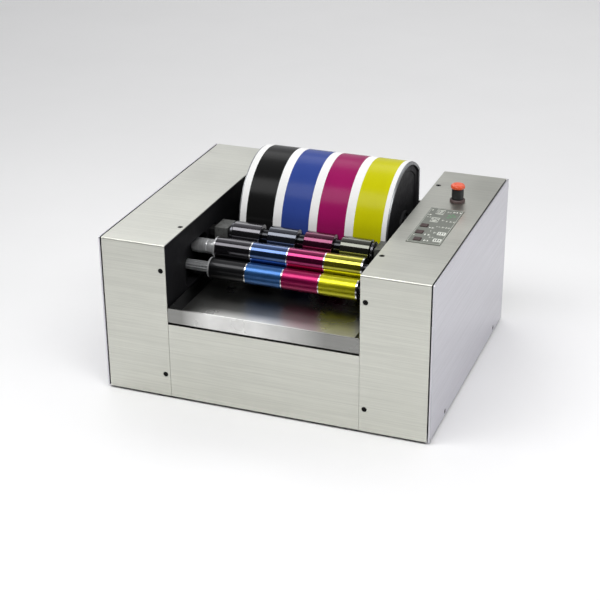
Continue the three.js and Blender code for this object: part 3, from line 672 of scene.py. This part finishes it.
def add_drum_shell():
    """The hollow D-shaped barrel, with the two lugs that the gripper bar turns in."""
    radius, flat, wall, half = 102.6, 73.6, 5.0, 124.5
    edge = 0.6
    outer = [
        (-half, radius - edge, flat - edge),
        (-half + edge * 0.3, radius - edge * 0.3, flat - edge * 0.3),
        (-half + edge, radius, flat),
        (half - edge, radius, flat),
        (half - edge * 0.3, radius - edge * 0.3, flat - edge * 0.3),
        (half, radius - edge, flat - edge),
        (half, radius - wall + edge, flat - wall + edge),
        (half - edge, radius - wall, flat - wall),
        (-half + edge, radius - wall, flat - wall),
        (-half, radius - wall + edge, flat - wall + edge),
    ]
    shape = Shape().loft([d_ring(x + DRUM_SHIFT, r, f) for x, r, f in outer], closed=True)
    centre = (DRUM[0] + 77.6, DRUM[1] + 40)
    for sign in (-1, 1):
        lug = DRUM_SHIFT + sign * 118
        low, high = lug - 4, lug + 4
        rings = []
        for x, grow in ((low, -0.5), (low + 0.5, 0), (high - 0.5, 0), (high, -0.5)):
            ring = []
            for k in range(40):
                a = 2 * math.pi * k / 40
                y = (4.2 + grow) * math.cos(a) if math.cos(a) > 0 else -4.2
                z = (4.8 + grow) * math.sin(a)
                ring.append((x, centre[0] + y, centre[1] + z))
            rings.append(ring)
        shape.loft(rings)
    shape.piece(
        "drum_barrel", ["cast_aluminium"], "drum", "cast_aluminium", ["drum_shell"], 30
    )


def add_drum_core():
    """The drum's two end discs on their shaft, each bolted to a hub."""
    shape = Shape()
    for sign in (-1, 1):
        stations = [
            (sign * 114.0, 96.6, 67.6),
            (sign * 114.6, 97.25, 68.25),
            (sign * 120.4, 97.25, 68.25),
            (sign * 121.0, 96.6, 67.6),
            (sign * 121.0, 88.0, 60.0),
            (sign * 119.5, 86.5, 58.5),
        ]
        shape.loft([d_ring(x + DRUM_SHIFT, r, f, 120) for x, r, f in stations])
    hub_seat, hub_end = 119.2, 123.5
    profile = softened(
        [
            (-170.5, 0.5),
            (-170.5, 8),
            (-140, 8),
            (-140, 14),
            (-hub_end + DRUM_SHIFT, 14),
            (-hub_end + DRUM_SHIFT, 24),
            (-hub_seat + DRUM_SHIFT, 24),
            (-hub_seat + DRUM_SHIFT, 14),
            (hub_seat + DRUM_SHIFT, 14),
            (hub_seat + DRUM_SHIFT, 24),
            (hub_end + DRUM_SHIFT, 24),
            (hub_end + DRUM_SHIFT, 14),
            (140, 14),
            (140, 8),
            (190, 8),
            (190, 0.5),
        ],
        0.8,
    )
    solid_x(profile, DRUM, 72, 1, shape)
    bolt_circle, first_bolt = 19, 0.3
    for sign in (-1, 1):
        seat, head = DRUM_SHIFT + sign * 123.0, DRUM_SHIFT + sign * 125.6
        for k in range(6):
            a = math.pi * k / 3 + first_bolt
            spot = (DRUM[0] + bolt_circle * math.cos(a), DRUM[1] + bolt_circle * math.sin(a))
            bolt = softened([(seat, 0.3), (head, 0.3), (head, 2.6), (seat, 2.6)], 0.4)
            solid_x([(x, max(r, 0.2)) for x, r in bolt], spot, 20, 2, shape)
    shape.piece(
        "drum_ends", ["drum_end", "drum_end", "black_oxide"], "drum", "cast_iron", ["drum_core"], 30
    )


def add_proof_sheet():
    """The proof paper with its four printed strips, wrapped from the gripper to the drum's front."""
    outer, inner = DRUM_RADIUS, DRUM_RADIUS - PAPER_THICKNESS
    flat_inner = DRUM_FLAT - PAPER_THICKNESS
    start, tail = math.acos(DRUM_FLAT / outer), math.radians(209)
    inner_start = math.acos(flat_inner / inner)
    steps = 150
    flap = inner * math.sin(inner_start) - 15
    path = []
    for k in range(5):
        z = flap + (outer * math.sin(start) - flap) * k / 4
        z_in = flap + (inner * math.sin(inner_start) - flap) * k / 4
        path.append(((DRUM_FLAT, z), (flat_inner, z_in)))
    for k in range(1, steps + 1):
        a = start + (tail - start) * k / steps
        b = inner_start + (tail - inner_start) * k / steps
        path.append(
            (
                (outer * math.cos(a), outer * math.sin(a)),
                (inner * math.cos(b), inner * math.sin(b)),
            )
        )
    centres = [centre + STRIP_SHIFT for _, centre in STRIPS]
    edges = [PAPER[0]]
    for centre in centres:
        edges += [centre - STRIP_HALF, centre + STRIP_HALF]
    edges.append(PAPER[1])
    xs = []
    for a, b in zip(edges, edges[1:]):
        xs += [a + (b - a) * k / 3 for k in range(3)]
    xs.append(PAPER[1])
    points, faces, face_looks = [], [], []
    rows, columns = len(path), len(xs)
    for layer in (0, 1):
        for pair in path:
            y, z = pair[layer]
            points += [(x, DRUM[0] + y, DRUM[1] + z) for x in xs]

    def at(layer, row, column):
        return layer * rows * columns + row * columns + column

    printed_rows = range(7, rows - 3)
    for row in range(rows - 1):
        for column in range(columns - 1):
            middle = (xs[column] + xs[column + 1]) / 2
            strip = next(
                (i + 1 for i, c in enumerate(centres) if abs(middle - c) < STRIP_HALF), 0
            )
            faces.append(
                (
                    at(0, row, column),
                    at(0, row, column + 1),
                    at(0, row + 1, column + 1),
                    at(0, row + 1, column),
                )
            )
            face_looks.append(strip if row in printed_rows else 0)
            faces.append(
                (
                    at(1, row, column),
                    at(1, row + 1, column),
                    at(1, row + 1, column + 1),
                    at(1, row, column + 1),
                )
            )
            face_looks.append(0)
    for row in range(rows - 1):
        for column, flip in ((0, False), (columns - 1, True)):
            quad = [
                at(0, row, column),
                at(0, row + 1, column),
                at(1, row + 1, column),
                at(1, row, column),
            ]
            faces.append(tuple(reversed(quad)) if flip else tuple(quad))
            face_looks.append(0)
    for column in range(columns - 1):
        for row, flip in ((0, True), (rows - 1, False)):
            quad = [
                at(0, row, column),
                at(0, row, column + 1),
                at(1, row, column + 1),
                at(1, row, column),
            ]
            faces.append(tuple(reversed(quad)) if flip else tuple(quad))
            face_looks.append(0)
    looks = ["paper"] + [f"strip_{name}" for name, _ in STRIPS]
    piece("proof_sheet", points, faces, looks, "drum", ["proof_paper"], face_looks, 40)


add_drum_shell()
add_drum_core()
add_proof_sheet()


# ---------- printing roller ----------

for ink, centre in STRIPS:
    a, b = centre - SLEEVE_HALF, centre + SLEEVE_HALF
    corners = [(a, 13.3), (a, PRINT_RADIUS), (b, PRINT_RADIUS), (b, 13.3)]
    outline = softened(corners, 1.0, 4, closed=True)
    sleeve = Shape().loft([ring_x(x, r, PRINT, 112) for x, r in outline], closed=True)
    sleeve.piece(
        f"print_segment_{ink}",
        [f"segment_{ink}"],
        "print_roller",
        f"ink_{ink}",
        [f"print_sleeve_{ink}"],
        35,
    )

core_profile = [
    (-139.5, 0.5),
    (-139.5, 6),
    (-118.5, 6),
    (-118.5, 17),
    (-114.5, 17),
    (-114.5, 13),
    (114.5, 13),
    (114.5, 17),
    (118.5, 17),
    (118.5, 6),
    (139.5, 6),
    (139.5, 0.5),
]
core_points = softened(core_profile, 0.6)
# The collars and journals at both ends take the darkened steel as painted shade.
core = Shape().loft(
    [ring_x(x, r, PRINT, 96) for x, r in core_points],
    look=lambda i: 0 if abs(core_points[i][0]) < 114.3 else 1,
)
core.piece(
    "print_roller_shaft",
    ["inked_steel", "painted_shade_steel"],
    "print_roller",
    "inked_steel",
    ["print_roller_core"],
    35,
)


# ---------- ink rollers ----------


def ink_roller(name, axis, radius, left, right, body, node, ink):
    """A steel roller with four ink zones, bare polished lines between them and bare rims; its right
    rim and journal are darkened as painted shade.
    """
    x0, x1 = INK_X
    rim, line, depth = 2.2, 1.8, 0.12
    # Look indices: polished lines, the right end in steel darkened as painted shade, the left end in
    # bright steel.
    polished, dark, bright = 4, 5, 6
    width = (x1 - x0 - 2 * rim) / 4
    profile, looks = [], []

    def add(x, r, look):
        profile.append((x, r))
        looks.append(look)

    for x, r in left:
        add(x, r, bright)
    add(x0, left[-1][1], bright)
    add(x0, radius - 0.7, bright)
    add(x0 + 0.25, radius - 0.2, bright)
    add(x0 + 0.8, radius - depth, bright)
    for zone in range(4):
        a, b = x0 + rim + zone * width, x0 + rim + (zone + 1) * width
        add(a + line / 2 - 0.06, radius - depth, zone)
        add(a + line / 2 + 0.12, radius, zone)
        add(b - line / 2 - 0.12, radius, zone)
        add(b - line / 2 + 0.06, radius - depth, polished)
    add(x1 - 0.8, radius - depth, dark)
    add(x1 - 0.25, radius - 0.2, dark)
    add(x1, radius - 0.7, dark)
    add(x1, right[0][1], dark)
    for x, r in right:
        add(x, r, dark)
    shape = Shape().loft(
        [ring_x(x, r, axis, 128) for x, r in profile], look=lambda i: looks[i]
    )
    names = [f"{ink}_{colour}" for colour, _ in STRIPS] + ["chrome", "painted_shade_steel", "bright_steel"]
    shape.piece(name, names, body, "inked_steel", [node], 35)


upper_left = softened(
    [
        (-176.5, 0.5),
        (-176.5, 8),
        (JOURNAL_END, 8),
        (JOURNAL_END, 12),
        (-146, 12),
        (-146, 10.4),
        (-144, 10.4),
        (-144, 12),
        (INK_X[0], 12),
    ],
    0.5,
)
right_journal = softened([(INK_X[1], 8), (SHAFT_END, 8), (SHAFT_END, 0.5)], 0.5)
ink_roller(
    "upper_inked_roller",
    UPPER,
    UPPER_RADIUS,
    upper_left[:-1],
    right_journal,
    "upper_roller",
    "upper_ink_roller",
    "film",
)
ink_roller(
    "front_inked_roller",
    FRONT,
    FRONT_RADIUS,
    softened([(-191, 0.5), (-191, 4), (INK_X[0] - 0.2, 4)], 0.4),
    right_journal,
    "front_roller",
    "front_ink_roller",
    "wet",
)


def gear_ring(x, teeth, tip, root, axis, shrink=0.0):
    """One section of a spur gear with rounded tips, the same phase as its CAD node."""
    step = 2 * math.pi / teeth
    share = [(root, -0.33), (root, -0.29), (tip - 0.3, -0.155), (tip, -0.11)]
    share += [(tip + 0.02, 0.0), (tip, 0.11), (tip - 0.3, 0.155), (root, 0.29), (root, 0.33)]
    ring = []
    for tooth in range(teeth):
        for radius, s in share:
            a = (tooth + s) * step
            r = radius - shrink
            ring.append((x, axis[0] + r * math.cos(a), axis[1] + r * math.sin(a)))
    return ring


def add_pinion():
    tip, root = 8.6, 6.0
    left, right = -190.0, INK_X[0] - 0.3
    sections = [(left, 0.5), (left + 0.4, 0), (right - 0.4, 0), (right, 0.5)]
    rings = [gear_ring(x, 12, tip, root, FRONT, s) for x, s in sections]
    shape = Shape().loft(rings, caps=(False, False))
    for outer, at_left in ((rings[0], True), (rings[-1], False)):
        inner = []
        for x, y, z in outer:
            a = math.atan2(z - FRONT[1], y - FRONT[0])
            inner.append((x, FRONT[0] + 4.3 * math.cos(a), FRONT[1] + 4.3 * math.sin(a)))
        shape.loft([inner, outer] if at_left else [outer, inner], caps=(False, False))
    shape.piece("drive_pinion", ["bright_steel"], "front_roller", "chrome", ["roller_pinion"], 28)


add_pinion()


# ---------- emergency stop ----------


def add_emergency_stop():
    """The fixed collar, the post that goes down with the button, and the button that twists."""
    segments = 72
    collar = [
        (9.8, 5.0),
        (11.0, 5.0),
        (11.9, 4.2),
        (12.2, 3.5),
        (12.2, 0.5),
        (12.0, 0.3),
        (11.0, 0.3),
        (11.0, -26),
        (9.4, -26),
        (9.4, -24),
        (9.4, -19),
        (9.8, -19),
    ]
    rings = [ring_z(TOP + z, r, E_STOP, segments) for r, z in collar]
    shape = Shape().loft(rings, closed=True, look=lambda i: 1 if i < 5 else 0)
    base = [ring_z(TOP - 25.9, 9.3, E_STOP, segments), ring_z(TOP - 24, 9.3, E_STOP, segments)]
    shape.loft(base)
    shape.piece(
        "e_stop_base", ["black_plastic", "brown_ring"], "root", "black_plastic", ["e_stop_collar"]
    )

    stem = [(0.5, -14), (9.3, -14), (9.5, -13.7), (9.5, 3), (9.1, 4), (9.1, 8), (9.5, 9)]
    stem += [(9.5, 20.6), (9.0, 21.5), (4, 21.5), (4, 25.6), (3.6, 26), (0.5, 26)]
    rings = [ring_z(TOP + z, r, E_STOP, segments) for r, z in stem]
    Shape().loft(rings).piece(
        "e_stop_post", ["black_plastic"], "e_stop_plunger", "black_plastic", ["e_stop_stem"]
    )

    def scallop(depth):
        return lambda a: 1 - depth * (0.5 - 0.5 * math.cos(8 * a)) ** 2

    cap = [
        (4.3, 26.5, 0),
        (4.3, 22.4, 0),
        (9.2, 22.4, 0),
        (10.7, 23.0, 0.03),
        (11.4, 23.9, 0.06),
        (11.5, 25.0, 0.08),
        (11.4, 26.4, 0.08),
        (10.9, 27.7, 0.07),
        (9.8, 28.7, 0.05),
        (8.2, 29.4, 0.02),
        (6.6, 29.7, 0),
        (5.8, 29.7, 0),
        (5.1, 29.3, 0),
        (2.8, 29.4, 0),
        (0.4, 29.6, 0),
    ]
    rings = [ring_z(TOP + z, r, E_STOP, 96, scallop(d)) for r, z, d in cap]
    inner = ring_z(TOP + 26.5, 0.4, E_STOP, 96)
    Shape().loft([inner] + rings).piece(
        "e_stop_button", ["signal_red"], "e_stop_head", "signal_red", ["e_stop_cap"], 50
    )


add_emergency_stop()


# ---------- control panel ----------


def bar(shape, a, b, width, z0, z1, look=0):
    """A printed stroke between two points."""
    along = (Vector(b) - Vector(a)).normalized()
    across = Vector((-along.y, along.x)) * width / 2
    a, b = Vector(a) + along * width * 0.35, Vector(b) - along * width * 0.35
    tip_a, tip_b = a - along * width * 0.4, b + along * width * 0.4
    outline = [a - across, b - across, tip_b, b + across, a + across, tip_a]
    rings = [[(p.x, p.y, z) for p in outline] for z in (z0, z1)]
    shape.loft(rings, look=look)


def dished_key(name, x, y, width, length, look, body, slot, node, marks=()):
    """A keycap with a rounded edge, a slightly dished top and a hidden flange."""
    shape = Shape()
    flange = rounded_box_outline(x, y, width + 2, length + 2, 0.6)
    prism(flange, 252, 253.2, 0.2, shape)
    outline = rounded_box_outline(x, y, width, length, 1.2, 5)

    def scaled(amount):
        kx, ky = 1 - 2 * amount / width, 1 - 2 * amount / length
        return [(x + (px - x) * kx, y + (py - y) * ky) for px, py in outline]

    levels = [(0, 253.1), (0, KEY_TOP - 0.7), (0.15, KEY_TOP - 0.25), (0.5, KEY_TOP)]
    levels += [(1.2, KEY_TOP - 0.05), (2.2, KEY_TOP - 0.22), (3.4, KEY_TOP - 0.3)]
    rings = [[(px, py, z) for px, py in scaled(amount)] for amount, z in levels]
    shape.loft(rings)
    for dx, half in marks:
        low, high = (x + dx, y - half), (x + dx, y + half)
        bar(shape, low, high, 1.3, KEY_TOP - 0.32, KEY_TOP - 0.01, 1)
    shape.piece(name, [look, "digit"], body, slot, [node], 40)


RED_KEYS = ((-16.5, -4.5), (-16.5, -31.0), (-12.0, -58.0))
PALE_KEYS = ((17.5, -29.5), (18.0, -56.0))
KEY = 11.5
PALE_KEY_WIDTH = 13
PALE_KEY_MARKS = ((-3.6, 3.2), (-0.2, 4.2), (3.4, 3.0))
for color, places, key_width, key_marks in (
    ("red", RED_KEYS, KEY, ()),
    ("pale", PALE_KEYS, PALE_KEY_WIDTH, PALE_KEY_MARKS),
):
    for index, (x, y) in enumerate(places, 1):
        dished_key(
            f"{color}_keycap_{index}",
            PANEL[0] + x,
            PANEL[1] + y,
            key_width,
            KEY,
            f"{color}_key",
            f"{color}_button_{index}",
            f"{color}_key",
            f"{color}_key_{index}",
            key_marks,
        )

SEGMENTS = {
    "a": ((-0.5, 1), (0.5, 1)),
    "b": ((0.5, 1), (0.5, 0)),
    "c": ((0.5, 0), (0.5, -1)),
    "d": ((-0.5, -1), (0.5, -1)),
    "e": ((-0.5, 0), (-0.5, -1)),
    "f": ((-0.5, 1), (-0.5, 0)),
    "g": ((-0.5, 0), (0.5, 0)),
}
DIGITS = {"0": "abcdef", "2": "abged", "3": "abgcd", "5": "afgcd"}


def add_display():
    """Two lenses on a strip under the panel, each with a pair of segment digits."""
    shape = Shape()
    x = PANEL[0] - 7.5
    strip = rounded_box_outline(x, PANEL[1] + 38.75, 17, 50.5, 1)
    prism(strip, 253, 255, 0.3, shape)
    for y, digits in ((22.5, "25"), (55, "03")):
        lens = rounded_box_outline(x, PANEL[1] + y, 13, 19, 0.8)
        prism(lens, 254.9, LENS_TOP, 0.25, shape)
        for column, digit in zip((-3.1, 3.1), digits):
            centre = Vector((x + column, PANEL[1] + y))
            for key in DIGITS[digit]:
                a, b = (
                    centre + Vector((px * 3.6 + py * 0.35, py * 5.4)) for px, py in SEGMENTS[key]
                )
                bar(shape, a, b, 1.3, LENS_TOP - 0.02, LENS_TOP + 0.06, 1)
    shape.piece("display", ["lens", "digit"], "root", "display_lens", ["display_window"], 35)


def add_legends():
    """Plain printed marks: a border line, captions as short bars, and small lamps."""
    shape = Shape()
    z0, z1 = PANEL_TOP - 0.02, PANEL_TOP + 0.05
    cx, cy = PANEL
    outer = rounded_box_outline(cx, cy, 50.6, 139.6, 2.5, 5)
    inner = rounded_box_outline(cx, cy, 49.0, 138.0, 1.9, 5)
    rings = [
        [(x, y, z0) for x, y in outer],
        [(x, y, z1) for x, y in outer],
        [(x, y, z1) for x, y in inner],
        [(x, y, z0) for x, y in inner],
    ]
    shape.loft(rings, closed=True, look=0)
    rng = random.Random(7)

    def caption(x, y, letters, size, look):
        for k in range(letters):
            left = cx + x + (k - (letters - 1) / 2) * size * 0.95
            tall = size * rng.choice((0.9, 1.0, 1.0))
            low, high = Vector((left, cy + y - tall / 2)), Vector((left, cy + y + tall / 2))
            bar(shape, low, high, size * 0.28, z0, z1, look)
            if rng.random() < 0.7:
                bar(
                    shape,
                    low + Vector((0, tall * 0.5)),
                    low + Vector((size * 0.55, tall * 0.5)),
                    size * 0.26,
                    z0,
                    z1,
                    look,
                )

    for x, y, letters, size, look in (
        (-21.5, 61, 1, 6.5, 1),
        (5.7, 59, 2, 4.4, 1),
        (17.5, 61, 3, 5.4, 2),
        (-22.5, 41, 2, 4.6, 2),
        (-19.5, 31, 2, 4.4, 1),
        (4.1, 24, 1, 6.0, 1),
        (17.0, 22, 3, 6.0, 1),
        (-4.5, -10, 2, 4.8, 2),
        (4.6, -3, 2, 4.2, 1),
        (14.5, -3, 2, 6.0, 1),
        (21.5, -3, 1, 6.0, 1),
        (-3.3, -38, 2, 5.4, 2),
        (5.1, -27, 1, 7.0, 1),
        (5.6, -46, 2, 4.6, 1),
        (1.6, -60, 2, 5.4, 2),
        (-1.5, -22, 1, 4.2, 1),
        (-22.0, -44, 1, 4.2, 1),
    ):
        caption(x, y, letters, size, look)
    for x, y in ((9, 46), (13, 41), (18, 44), (9, 37), (14, 50)):
        rings = [ring_z(z, 2.1, (cx + x, cy + y), 20) for z in (z0, z1)]
        shape.loft(rings, look=3)
    shape.piece(
        "panel_legends", ["panel_line", "legend", "legend_bright", "lamp"], "root", "panel_film"
    )


add_display()
add_legends()


# ---------- floor and light ----------


def add_floor():
    """A plain pale floor under the machine."""
    mesh = bpy.data.meshes.new("floor")
    reach = 14
    corners = [(-reach, -reach, 0), (reach, -reach, 0), (reach, reach, 0), (-reach, reach, 0)]
    mesh.from_pydata(corners, [], [(0, 1, 2, 3)])
    floor = bpy.data.objects.new("floor", mesh)
    bpy.context.scene.collection.objects.link(floor)
    look = Look("floor", (0.93, 0.93, 0.93), 0.7)
    look.shade(look.noise(3, 3), 0.99, 1.01)
    mesh.materials.append(look.material)


def area_light(name, place, target, size, power, color=(1, 1, 1)):
    data = bpy.data.lights.new(name, "AREA")
    data.shape = "RECTANGLE"
    data.size, data.size_y = size
    data.energy = power
    data.color = color
    light = bpy.data.objects.new(name, data)
    light.location = place
    aim = Vector(target) - Vector(place)
    light.rotation_mode = "QUATERNION"
    light.rotation_quaternion = aim.to_track_quat("-Z", "Y")
    bpy.context.scene.collection.objects.link(light)


def add_world(front, back, right_share):
    """A studio that is dim on the operator's side and pale behind the machine and to its left."""
    world = bpy.data.worlds.new("studio")
    bpy.context.scene.world = world
    world.use_nodes = True
    tree = world.node_tree
    place = tree.nodes.new("ShaderNodeTexCoord").outputs["Generated"]
    split = tree.nodes.new("ShaderNodeSeparateXYZ")
    tree.links.new(place, split.inputs[0])

    def ramp(axis, low, high, low_value, high_value):
        node = tree.nodes.new("ShaderNodeMapRange")
        for socket, value in (
            ("From Min", low),
            ("From Max", high),
            ("To Min", low_value),
            ("To Max", high_value),
        ):
            node.inputs[socket].default_value = value
        tree.links.new(split.outputs[axis], node.inputs["Value"])
        return node.outputs["Result"]

    product = tree.nodes.new("ShaderNodeMath")
    product.operation = "MULTIPLY"
    tree.links.new(ramp("Y", -0.3, 0.3, front, back), product.inputs[0])
    tree.links.new(ramp("X", -0.44, -0.20, 1.0, right_share), product.inputs[1])
    background = tree.nodes["Background"]
    background.inputs["Color"].default_value = (0.98, 0.98, 1.0, 1)
    tree.links.new(product.outputs[0], background.inputs["Strength"])


add_floor()
bpy.context.scene.view_settings.view_transform = "Standard"
add_world(0.03, 0.92, 0.30)
area_light("overhead", (0.0, -0.78, 1.66), (0, -0.07, 0.2), (2.6, 0.80), 31)
area_light("backdrop", (0.0, 2.4, 2.6), (0, 2.2, 0), (4.6, 1.8), 40)
area_light("right", (2.8, 0.4, 1.4), (0.2, 0, 0.1), (2.2, 1.6), 22, (0.97, 0.96, 1.0))
